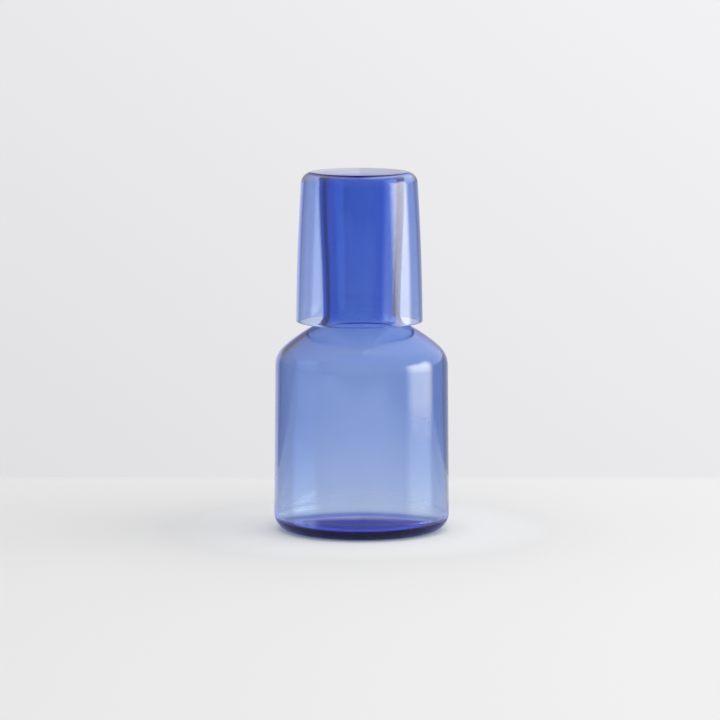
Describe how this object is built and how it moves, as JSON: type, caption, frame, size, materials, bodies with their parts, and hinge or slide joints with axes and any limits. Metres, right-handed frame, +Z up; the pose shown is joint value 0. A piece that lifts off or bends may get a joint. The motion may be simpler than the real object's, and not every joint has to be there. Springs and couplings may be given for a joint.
{
  "type": "carafe with tumbler",
  "caption": "Round glass carafe with a sloped shoulder and a flared neck, closed by a tapered tumbler turned upside down over the neck; the tumbler lifts off to drink from.",
  "frame": {"origin": "centre of the carafe's foot ring, on the table", "axes": "+Z up along the carafe's axis, +X to the right and -Y towards the viewer of the picture"},
  "size_m": [0.1, 0.1, 0.2049],
  "materials": {
    "carafe_glass": "clear blue glass, fire polished",
    "tumbler_glass": "clear blue glass, thinner, fire polished"
  },
  "bodies": {
    "carafe": {"carafe": "carafe_glass"},
    "tumbler": {"tumbler": "tumbler_glass"}
  },
  "joints": [
    {"name": "tumbler_lift", "type": "slide", "parent": "carafe", "child": "tumbler", "axis": [0, 0, 1], "range_m": [0, 0.1]}
  ]
}
